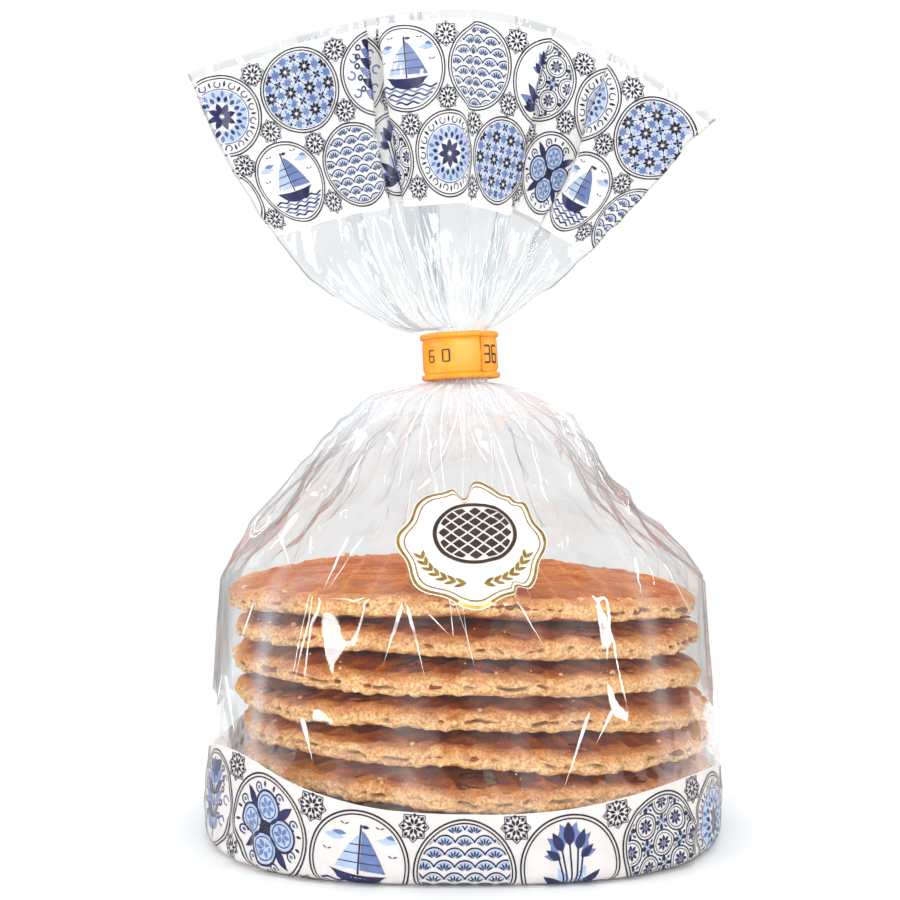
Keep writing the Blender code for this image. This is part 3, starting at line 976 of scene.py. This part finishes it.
def laid(grid, facing, column, row, lift):
    """Points of a film grid between its own columns and rows, lifted off it by `lift`."""
    count = grid.shape[1]
    left = np.floor(column).astype(int)
    low = np.clip(np.floor(row).astype(int), 0, grid.shape[0] - 2)
    over, up = (column - left)[..., None], (row - low)[..., None]
    left, right = left % count, (left + 1) % count

    def blend(values):
        lower = values[low, left] * (1.0 - over) + values[low, right] * over
        upper = values[low + 1, left] * (1.0 - over) + values[low + 1, right] * over
        return lower * (1.0 - up) + upper * up

    return blend(grid) + lift * blend(facing)


def print_inks(films, materials):
    """Every printed shape laid on its film, one piece for each ink.

    A film comes with its first printed row and with how far down its print starts and ends.
    """
    drawn = {ink: [] for ink in INK_LIFT}
    for where, shapes, middle, down in sheets_of_print():
        grid, facing, first, top, deep = films[where]
        for ink, shape in shapes:
            column = (middle + shape[..., 0] / FILM_ROUND) * grid.shape[1]
            below = np.clip(down - shape[..., 1], top + PRINT_MARGIN, deep - PRINT_MARGIN)
            row = first + (deep - below) / PRINT_STEP
            drawn[ink].append(laid(grid, facing, column, row, INK_LIFT[ink]))
    for ink, parts in drawn.items():
        piece(f"ink_{ink}", parts, materials[ink])


# Whitened creases and painted highlights


def ribbon(film, rows, columns, width):
    """A narrow wedge of crease laid on the film, widest near its first row."""
    grid, facing, spacing = film
    half = width * MM / 2 * np.sin(math.pi * np.linspace(0.0, 1.0, len(rows)) ** 0.42) ** 1.3
    half = half / np.interp(rows, np.arange(len(spacing)), spacing)
    side = np.array([[-1.0], [0.0], [1.0]]) * np.sign(rows[0] - rows[-1])
    across = columns + side * half
    return laid(grid, facing, across, np.broadcast_to(rows, across.shape), CREASE_LIFT)


def drawn_creases(film, count, seed, start, end, wander):
    """Creases spread evenly round the film from near the neck, each leaning its own way.

    start and end are the ranges of rows in which they begin and end, and wander is how many
    columns they lean by. Every third one forks.
    """
    chance = np.random.default_rng(seed)
    total = film[0].shape[1]
    parts, share = [], np.linspace(0.0, 1.0, 26)
    for number in range(count):
        first, last = chance.uniform(*start), chance.uniform(*end)
        column = (number + chance.uniform(-0.4, 1.4)) / count * total
        lean = chance.normal() * wander
        kink = chance.normal() * 0.25 * wander * np.abs(share - chance.uniform(0.2, 0.8))
        rows = first + (last - first) * share
        line = column + lean * share**1.2 + kink
        parts.append(ribbon(film, rows, line, chance.uniform(0.10, 0.36)))
        if number % 3 == 0:
            fork = chance.normal() * wander
            rows = last + (first - last) * share * 0.6
            line = column + lean + (fork - lean) * share * 0.6
            parts.append(ribbon(film, rows, line, chance.uniform(0.08, 0.30)))
    return parts


def painted_glints(film, count, seed, rows):
    """Painted glints: short wide white marks where a small facet would catch the light, between those two
    rows.
    """
    chance = np.random.default_rng(seed)
    parts, share = [], np.linspace(0.0, 1.0, 7)
    for _ in range(count):
        row, column = chance.uniform(*rows), chance.uniform(0.0, film[0].shape[1])
        long, lean = chance.uniform(4.0, 13.0), chance.normal() * 4.0
        line = column + lean * share**1.5
        parts.append(ribbon(film, row - long * share, line, chance.uniform(0.25, 1.1)))
    return parts


def front_creases(film):
    """The creases of FRONT_CREASES, each found on the film by its own x and z."""
    grid = film[0]
    left, right = BODY_COLUMNS // 4, 3 * BODY_COLUMNS // 4
    columns = np.arange(left, right + 1)
    upward = np.maximum.accumulate(grid[:, BODY_COLUMNS // 2, 2])
    share = np.linspace(0.0, 1.0, 16)
    parts = []
    for x_top, z_top, x_low, z_low, width in FRONT_CREASES:
        heights = (z_top + (z_low - z_top) * share) * MM
        rows = np.interp(heights, upward, np.arange(len(upward)))
        places = (x_top + (x_low - x_top) * share) * MM
        line = []
        for x, row in zip(places, rows):
            rightward = np.maximum.accumulate(grid[int(row), left : right + 1, 0])
            line.append(np.interp(x, rightward, columns))
        parts.append(ribbon(film, rows, np.array(line), 0.75 * width))
    return parts


def whiten_folds_and_paint_highlights(body_film, crown_film, band_row, print_row, material):
    """All the white lines, partly stress-whitened creases and partly painted highlights along folds: down
    and up from the neck, at the front, and small painted glints.

    band_row is the body's row at the top of its print, and print_row the crown's at the
    bottom of its own.
    """
    neck = len(body_film[0]) - 10
    long, short = (band_row + 30, neck - 20), (neck - 44, neck - 22)
    parts = drawn_creases(body_film, 72, 61, (neck - 14, neck), long, 13.0)
    parts += drawn_creases(body_film, 64, 83, (neck - 4, neck + 2), short, 16.0)
    parts += front_creases(body_film)
    # Painted glints on small facets
    parts += painted_glints(body_film, 46, 97, (band_row + 48, neck - 8))
    parts += drawn_creases(crown_film, 78, 67, (2, 12), (18, print_row + 4), 9.0)
    piece("film_creases_and_painted_highlights", parts, material)


# The badge


def badge_outline(scale):
    """Eight shallow lobes round a slightly tall oval, with three tucks in its edge.

    At each tuck the film has folded over the badge and hides some of it.
    """
    angle = np.linspace(0.0, FULL_TURN, 193)
    radius = 1.0 + 0.045 * np.cos(8 * angle) + 0.04 * hump(angle, math.pi / 2, 0.25)
    for middle, wide, deep in BADGE_TUCKS:
        radius -= deep * np.exp(-(np.abs((angle - middle) / wide) ** 3))
    x, y = BADGE_HALF[0] * radius * np.cos(angle), BADGE_HALF[1] * radius * np.sin(angle)
    return scale * np.stack([x, y], axis=-1)


def wafer_mark(centre):
    """A plain round wafer: a ring filled with the squares of the iron's grid."""
    pitch, cells = 1.25, []
    for i, j in np.ndindex(7, 7):
        u, v = (i - 3) * pitch, (j - 3) * pitch
        if math.hypot(u - v, u + v) < 5.8:
            cells.append(("dark", square(0.72, 45, (u - v, u + v))))
    shapes = within(cells, 5.9) + [("dark", ring(6.2, 6.9, 56))]
    return [(ink, shape + np.array(centre)) for ink, shape in shapes]


def badge_shapes():
    """White ground, two gold lines, and a plain round wafer over two ears of wheat."""
    ground = np.stack([badge_outline(scale) for scale in np.linspace(1.0, 0.0, 19)])
    shapes = [("white", ground)]
    for outer, inner in ((0.985, 0.945), (0.90, 0.88)):
        shapes.append(("gold", np.stack([badge_outline(outer), badge_outline(inner)])))
    shapes += wafer_mark((0.2, 2.0))
    for side in (-1, 1):
        for n in range(7):
            angle = -90 + side * (9 + 9.5 * n)
            spot = tuple(turned(np.array([9.0, 0.0]), angle))
            for lean in (58, 118):
                shapes.append(("gold", petal(-0.2, 1.9, 0.36, angle + side * lean, 6, spot)))
    return shapes


def stick_badge(grid, facing, materials):
    """The badge on the front of the shoulder, true to size along and across the film.

    An offset across is turned to an angle by the film's half width at that height.
    """
    front = BODY_COLUMNS // 2
    run = grid[:, front - 6 : front + 7].mean(axis=1)
    steps = np.linalg.norm(np.diff(run, axis=0), axis=1)
    climbed = np.concatenate([[0.0], np.cumsum(steps)])
    middle = climbed[int(np.argmin(np.abs(run[:, 2] - BADGE_MIDDLE[1])))]
    rows = np.arange(len(run))
    down = np.clip((NECK_LOW - run[:, 2]) / (NECK_LOW - BODY_TOP), 0.0, 1.0)
    half = NECK_HALF[0] + (RIM_HALF[0] - NECK_HALF[0]) * down ** SHOULDER_GROWTH[0]
    angles = even_angles(BODY_COLUMNS)
    drawn = {ink: [] for ink in BADGE_LIFT}
    for ink, shape in badge_shapes():
        row = np.interp(middle + shape[..., 1] * MM, climbed, rows)
        turn = (shape[..., 0] + BADGE_MIDDLE[0]) * MM / np.interp(row, rows, half)
        column = np.interp(1.5 * math.pi + turn, angles, np.arange(BODY_COLUMNS))
        drawn[ink].append(laid(grid, facing, column, row, BADGE_LIFT[ink]))
    for ink, parts in drawn.items():
        piece(f"badge_{ink}", parts, materials[ink])


# The stroopwafels


def settle(points, number):
    """Places a waffle in the stack, counted from the top: turned, slid and leaning.

    It droops at its sides, its rim is wavy, and the top one is lifted at its back left.
    """
    turn = number * 1.31
    x = points[..., 0] * math.cos(turn) - points[..., 1] * math.sin(turn)
    y = points[..., 0] * math.sin(turn) + points[..., 1] * math.cos(turn)
    reach, bearing = np.hypot(x, y) / WAFFLE_RADIUS, np.arctan2(y, x)
    wave = 0.42 * np.sin(3 * bearing + number * 2.0) + 0.26 * np.sin(7 * bearing + number * 3.1)
    wave = wave * MM * reach**4
    lean = STACK_TILT * (0.55 + 0.1 * min(number, 4))
    droop = SIDE_DROOP * (x / WAFFLE_RADIUS) ** 2
    z = points[..., 2] + (TOP_WAFFLE - number * WAFFLE_PITCH - lean * x - droop + wave)
    if number == 0:
        z += 1.3 * MM * hump(bearing, math.radians(132), 0.30) * reach**5
    x, y = x + SLID_RIGHT[number] * MM, y + 0.5 * MM * math.sin(number * 2.1)
    return np.stack([x, y, np.maximum(z, FLOOR_GAP)], axis=-1)


def waffle_profile(face_rows):
    """Radius and height from the middle underneath, out and up over the rim, and in again.

    The waffle is thin at its cut rim and swells within some 14 mm to its full thickness.
    The third value is 1 at the middle of the rim, where the two wafers part.
    """
    under_r = np.array([0.0, 20.0, 31.0, 34.0, 37.0, 39.5, 41.5, 43.0, 44.2, 44.9])
    under_z = -3.0 + 1.65 * np.maximum((under_r - 31.0) / 14.3, 0.0) ** 1.9
    rim_z = np.linspace(-1.22, 1.25, 13)
    rim_r = 45.75 - 0.55 * (np.abs(rim_z) / 1.25) ** 3
    over_r = np.array([44.9, 44.4, 43.8, 43.2, 42.5, 41.7, 40.8, 39.7, 38.4, 37.0, 35.2, 33.2])
    over_r = np.concatenate([over_r, np.linspace(31.0, 0.0, face_rows)])
    over_z = FULL_HALF_THICK / MM - 1.6 * np.maximum((over_r - 31.0) / 14.3, 0.0) ** 2.2
    radius = np.concatenate([under_r, rim_r, over_r]) * WAFFLE_RADIUS / 45.75
    seam = np.concatenate([0.0 * under_r, hump(rim_z, 0.0, 0.25), 0.0 * over_r])
    return radius, np.concatenate([under_z, rim_z, over_z]) * MM, seam


def rim_circle(steps):
    """Angles all round a waffle, and the points of its rim's circle at them."""
    angle = np.arange(steps) / steps * FULL_TURN
    circle = np.stack([np.cos(angle), np.sin(angle), 0 * angle], axis=-1)
    return angle, circle * WAFFLE_RADIUS


def waffle(number, steps, face_rows):
    """The profile turned all round, marked by the iron and broken at its rim.

    The iron leaves a grid of shallow square pockets. Lumps of three sizes roughen the rim,
    and the seam between the wafers opens in dashes. The second value is how toasted each
    point is: 1 on the faces, more in the pockets, 0 on the cut, between them on the upper
    wafer's cut, and below 0 in the seam.
    """
    radius, height, seam = [part[:, None] for part in waffle_profile(face_rows)]
    angle, circle = rim_circle(steps)
    edge = 1.0 + 0.007 * np.sin(2 * angle + number) + 0.004 * np.sin(5 * angle + 2 * number)
    opened = seam * rising(lumps(circle, 1.5 * MM, number + 200), 0.05, 0.5)
    r = radius * edge - (0.25 * seam + 0.95 * opened) * MM
    z = np.repeat(height, steps, axis=1)
    x, y = r * np.cos(angle), r * np.sin(angle)
    ridge = [np.abs((v / IRON_PITCH) % 1.0 - 0.5) * 2.0 for v in (x, y)]
    pocket = falling(np.maximum(*ridge), 0.88, 0.26)
    on_face = falling(radius / MM, 43.6, 2.5) * (z > 0)
    points = np.stack([x, y, z - IRON_DEPTH * pocket * on_face], axis=-1)
    rough = 0.58 * lumps(points, 1.2 * MM, number) + 0.60 * lumps(points, 3.2 * MM, number + 50)
    rough += 0.42 * lumps(points, 0.7 * MM, number + 90)
    push = 1.0 + rough * rising(radius / MM, 42.6, 2.6) * MM / np.maximum(r, 1.0 * MM)
    points[..., :2] *= push[..., None]
    heave = 0.38 * lumps(points, 1.3 * MM, number + 20)
    heave = heave + 0.38 * lumps(points, 4.0 * MM, number + 30)
    points[..., 2] += MM * heave * (0.35 + 0.65 * rising(radius / MM, 33.0, 9.0))
    patchy = 1.3 * lumps(points, 1.7 * MM, number + 70)
    patchy = patchy + 0.9 * lumps(points, 5.0 * MM, number + 75)
    upper = 0.66 * eased((height / MM - 0.25 + 0.45 * patchy) / 1.2)
    toasted = np.maximum(eased((44.3 - radius / MM + patchy) / 2.0), upper)
    # Pockets count as more toasted: syrup showing through, and painted shade in the hollows
    toasted = toasted * (1.0 - seam) - opened + 0.8 * pocket * on_face
    return settle(points, number), toasted


def caramel(number):
    """The syrup layer: thin, with an uneven edge that wells out of the rim here and there."""
    angle, circle = rim_circle(CARAMEL_STEPS)
    well = lumps(circle, 6.0 * MM, number + 300) + 0.6 * lumps(circle, 2.0 * MM, number + 400)
    edge = WAFFLE_RADIUS - 0.95 * MM + 0.75 * MM * np.maximum(well, -0.7)
    bulge = 1.0 + 1.2 * np.maximum(well - 0.3, 0.0)
    rows = []
    for turn in np.linspace(-math.pi / 2, math.pi / 2, 9):
        radius = edge - 0.4 * MM + 0.4 * MM * math.cos(turn)
        z = CARAMEL_HALF_THICK * math.sin(turn) * bulge
        rows.append(np.stack([radius * np.cos(angle), radius * np.sin(angle), z], axis=-1))
    middle, up = np.zeros((CARAMEL_STEPS, 3)), np.array([0, 0, CARAMEL_HALF_THICK])
    return settle(np.stack([middle - up] + rows + [middle + up]), number)


def stack_waffles(crust, syrup):
    """The whole stack; the top waffle's face is seen, so it has more rows than the others."""
    for number in range(WAFFLES):
        grid, toasted = waffle(number, *(LOWER_GRID if number else TOP_GRID))
        attribute = ("toasted", toasted)
        made = piece(f"waffle_{number + 1}", [grid], crust, closed=True, attribute=attribute)
        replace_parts(made, "bag")
        made = piece(f"caramel_{number + 1}", [caramel(number)], syrup, closed=True)
        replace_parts(made, "bag")


def ball(size, flat, seed, rows=8, columns=12):
    """A lumpy ball, flattened by that share."""
    lat = np.linspace(-math.pi / 2, math.pi / 2, rows)[:, None]
    lon = np.arange(columns)[None, :] / columns * FULL_TURN
    parts = [np.cos(lat) * np.cos(lon), np.cos(lat) * np.sin(lon), flat * np.sin(lat) + 0 * lon]
    made = np.stack(np.broadcast_arrays(*parts), axis=-1) * size
    return made * (1.0 + 0.45 * lumps(made, 0.5 * MM, seed)[..., None])


def strewn(count, seed, sizes, reach, height, flat, upmost=0):
    """Balls at chance places on the rims of the waffles, turned with the waffle they lie on.

    sizes, reach and height are in mm; flat is each ball's height as a share of its width,
    and upmost is the uppermost waffle that has any.
    """
    chance = np.random.default_rng(seed)
    parts = []
    for _ in range(count):
        number = int(chance.integers(upmost, WAFFLES - 1))
        angle, out = chance.uniform(0.0, FULL_TURN), chance.uniform(*reach) * MM
        size = chance.uniform(*sizes) * MM
        base = np.array([out * math.cos(angle), out * math.sin(angle), height * MM])
        parts.append(settle(ball(size, flat, int(chance.integers(10000))) + base, number))
    return parts


def bare_crumbs(name, parts, crust):
    """A piece of the cut wafer's colour, toasted nowhere, made of balls."""
    points = sum(part.shape[0] * part.shape[1] for part in parts)
    return piece(name, parts, crust, closed=True, attribute=("toasted", np.zeros(points)))


def crumbs_and_drips(crust, syrup):
    """Crumbs resting on the faces near the rim, and syrup that has dripped between waffles."""
    crumbs = strewn(64, 41, (0.18, 0.55), (42.2, 44.6), 2.0, 0.8)
    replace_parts(bare_crumbs("crumbs", crumbs, crust), "bag")
    drips = strewn(26, 47, (0.6, 1.6), (41.5, 43.6), 2.1, 0.4, 1)
    drips += strewn(28, 53, (1.8, 4.2), (39.0, 42.3), 2.3, 0.15, 1)
    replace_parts(piece("syrup_drips", drips, syrup, closed=True), "bag")


def film_specks(film, first, crust):
    """Fine crumbs stuck inside the film, in loose swarms all round it, above its first row."""
    grid, facing, _ = film
    chance = np.random.default_rng(71)
    swarms, each = SPECKS
    parts = []
    for _ in range(swarms):
        column, row = chance.uniform(0.0, BODY_COLUMNS), first + chance.uniform(3.0, 44.0)
        for _ in range(each):
            size = chance.uniform(0.07, 0.19) * MM
            across = column + 9.0 * chance.normal()
            up = np.clip(row + 5.0 * chance.normal(), first + 2, first + 60)
            place = laid(grid, facing, np.full((1, 1), across), np.full((1, 1), up), SPECK_LIFT)
            parts.append(ball(size, 0.8, int(chance.integers(10000)), 5, 6) + place)
    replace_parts(bare_crumbs("film_specks", parts, crust), "bag")


# The clip band


def strip_point(share, out, height):
    """A point of the strip: share of its length from the outer end, out from its inner face."""
    angle = CLIP_END - CLIP_TURN * share
    half = [a + CLIP_PITCH * CLIP_TURN / FULL_TURN * (1.0 - share) for a in CLIP_INNER_HALF]
    squared = [np.sign(v) * np.abs(v) ** CLIP_SQUARENESS for v in (np.cos(angle), np.sin(angle))]
    normal = [squared[0] / half[0], squared[1] / half[1]]
    length = np.hypot(*normal)
    x = half[0] * squared[0] + out * normal[0] / length
    y = half[1] * squared[1] + out * normal[1] / length
    cos, sin = math.cos(CLIP_TILT), math.sin(CLIP_TILT)
    parts = np.broadcast_arrays(x * cos - height * sin, y, x * sin + height * cos + CLIP_MIDDLE)
    return np.stack(parts, axis=-1)


def clip_strip(material):
    """The strip, flat inside and with a round wire bead along each edge, wound round the neck."""
    half = CLIP_HEIGHT / 2
    turn = np.linspace(-1.15, 1.25, 10) * math.pi / 2
    bead = np.maximum(CLIP_BEAD_OUT + CLIP_BEAD * np.cos(turn), 0.0)
    low, high = [side * (half - CLIP_BEAD) + CLIP_BEAD * np.sin(turn) for side in (-1, 1)]
    flat = np.linspace(-0.8, 0.8, 7) * (half - 1.4 * MM)
    corner = half - 0.3 * MM
    out = np.concatenate([[0.0], bead, CLIP_THICK + 0 * flat, bead, [0.0]])
    z = np.concatenate([[-corner], low, flat, high, [corner]])
    share = np.linspace(0.0, 1.0, CLIP_STEPS)[:, None]
    rows = strip_point(share, out[None, :], z[None, :])
    middles = [rows[end].mean(axis=0)[None, None, :] for end in (0, -1)]
    first, last = [np.repeat(middle, rows.shape[1], axis=1) for middle in middles]
    made = piece("clip_strip", [np.concatenate([first, rows, last])], material, closed=True)
    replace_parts(made, "clip_band")


def clip_digits(material):
    """Plain date digits printed on the strip, each of straight strokes."""
    length = 0.5 * CLIP_TURN * (CLIP_INNER_HALF[0] + CLIP_INNER_HALF[1] + 3.2 * MM)
    parts = []
    for text, place, wide, tall, line in DIGITS:
        for stroke in DIGIT_STROKES[text]:
            ends = np.array(STROKES[stroke], float) * (wide, tall / 2) - (wide / 2, tall / 2)
            flat = bar(*ends, line, 5) * MM
            share = place - flat[..., 0] / length
            parts.append(strip_point(share, CLIP_THICK + 0.04 * MM, flat[..., 1]))
    piece("clip_digits", parts, material)


# Floor, light and camera


def soft_box(name, place, aim, size, watts, mirrored):
    lamp = bpy.data.lights.new(name, "AREA")
    lamp.shape = "RECTANGLE"
    lamp.size, lamp.size_y = size
    lamp.energy = watts
    made = bpy.data.objects.new(name, lamp)
    made.location = place
    made.visible_glossy = mirrored
    made.rotation_euler = (Vector(aim) - Vector(place)).to_track_quat("-Z", "Y").to_euler()
    bpy.context.scene.collection.objects.link(made)


def lay_floor():
    """A pale matt floor just under the bag, flat and a little uneven in tone."""
    made, tree = new_material("pale_matt_floor")
    patches = speckle(tree, 200 * MM)
    colour = add(tree, "ValToRGB", {"Fac": patches}, [(0.3, "#D4D5D6"), (0.7, "#DADBDB")])
    surface = add(tree, "BsdfPrincipled", {"Base Color": colour, "Roughness": 0.9})
    add(tree, "OutputMaterial", {"Surface": surface})
    x, y = np.meshgrid(np.linspace(-0.45, 0.45, 25), np.linspace(-0.45, 0.13, 33))
    grid = np.stack([x, y, np.full(x.shape, FLOOR_LEVEL)], axis=-1)
    mesh = bpy.data.meshes.new("floor")
    mesh.from_pydata(grid.reshape(-1, 3).tolist(), [], grid_faces(*x.shape, False).tolist())
    mesh.materials.append(made)
    floor = bpy.data.objects.new("floor", mesh)
    bpy.context.scene.collection.objects.link(floor)


def room():
    """Plain white to the camera; what lights and mirrors in the film is a greyer room.

    Without that the clear film would not be seen against the white.
    """
    world = bpy.data.worlds.new("studio")
    bpy.context.scene.world = world
    world.use_nodes = True
    tree = world.node_tree
    tree.nodes.clear()
    seen = add(tree, "LightPath").outputs["Is Camera Ray"]
    way = add(tree, "TexCoord").outputs["Generated"]
    up = add(tree, "SeparateXYZ", {0: way}).outputs["Z"]
    up = add(tree, "MapRange", {"Value": up, "From Min": -1.0})
    tones = [(0.0, "#B2A8A2"), (0.46, "#C8C1BD"), (0.56, "#D0D6DA"), (0.8, "#EEF3F6")]
    tones = add(tree, "ValToRGB", {"Fac": up}, tones)
    grey = add(tree, "Background", {"Color": tones, "Strength": 0.60})
    white = add(tree, "Background", {"Color": linear("#FFFFFF"), "Strength": 1.0})
    both = add(tree, "MixShader", {0: seen, 1: grey, 2: white})
    add(tree, "OutputWorld", {"Surface": both})


def viewpoint():
    """The camera level with the bag's shoulder, as in the photograph."""
    view = bpy.data.cameras.new("camera")
    view.lens, view.sensor_width = 54.0, 36.0
    camera = bpy.data.objects.new("camera", view)
    camera.location = CAMERA_PLACE
    camera.rotation_euler = (math.pi / 2, 0.0, 0.0)
    bpy.context.scene.collection.objects.link(camera)
    bpy.context.scene.camera = camera
    bpy.context.scene.view_settings.view_transform = "Standard"


def film_pieces(body, crown, film, printed):
    """The film cut where its finish changes. body and crown are what their grids return."""
    points, _, last, _, gathered = body
    base = piece("printed_film_base", [points[: last + 1]], printed, closed=True)
    above = ("gathered", gathered[last:])
    clear_body = piece("clear_film_body", [points[last:]], film, closed=True, attribute=above)
    points, first, last, gathered = crown
    below, low = ("gathered", gathered[: first + 1]), [points[: first + 1]]
    clear_crown = piece("clear_film_crown", low, film, closed=True, attribute=below)
    top = piece("printed_film_crown", [points[first : last + 1]], printed, closed=True)
    margin = piece("clear_film_margin", [points[last:]], film, closed=True)
    for made in (base, clear_body, clear_crown, top, margin):
        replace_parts(made, "bag")


def main():
    printed = ink_material("white_gravure_ink_on_film", "#E8E6E5", "#F0EEED", 0.25, 0.38)
    inks = {
        "light": ink_material("light_blue_gravure_ink", "#8FA1BA", "#A1B2CA"),
        "mid": ink_material("mid_blue_gravure_ink", "#50618D", "#5F709C"),
        "navy": ink_material("navy_gravure_ink", "#15193F", "#1E244F"),
        "outline": ink_material("blue_black_gravure_ink", "#0E0F1C", "#191B2C"),
    }
    badge = {
        "white": ink_material("white_label_film", "#F0EDE9", "#F7F4F1", 0.3, 0.3),
        "gold": foil_material(),
        "dark": ink_material("dark_brown_label_ink", "#2A211B", "#3A2E26"),
    }
    crust, syrup = crust_material(), caramel_material()

    body_parts, crown_parts = body_grid(), crown_grid()
    body, print_start, print_end, radius, _ = body_parts
    crown, print_row, _, _ = crown_parts
    body_facing, crown_facing = outward(body), outward(crown)
    film_pieces(body_parts, crown_parts, film_material(), printed)
    films = {
        "base": (body, body_facing, print_start, 0.0, BASE_PRINT_DEEP),
        "crown": (crown, crown_facing, print_row, *CROWN_PRINT),
    }
    print_inks(films, inks)
    stick_badge(body, body_facing, badge)
    # Each film with the distance between its columns at every row
    body_film = body, body_facing, radius.mean(axis=1) * FULL_TURN / BODY_COLUMNS
    steps = np.linalg.norm(np.roll(crown, -1, axis=1) - crown, axis=-1).mean(axis=1)
    crown_film = crown, crown_facing, steps
    whiten_folds_and_paint_highlights(body_film, crown_film, print_end, print_row, crease_and_highlight_material())
    stack_waffles(crust, syrup)
    crumbs_and_drips(crust, syrup)
    film_specks(body_film, print_end, crust)
    clip_strip(clip_material())
    clip_digits(ink_material("black_date_ink", "#33291F", "#43362A", 0.5))
    lay_floor()
    room()
    for box in SOFT_BOXES:
        soft_box(*box)
    viewpoint()


main()
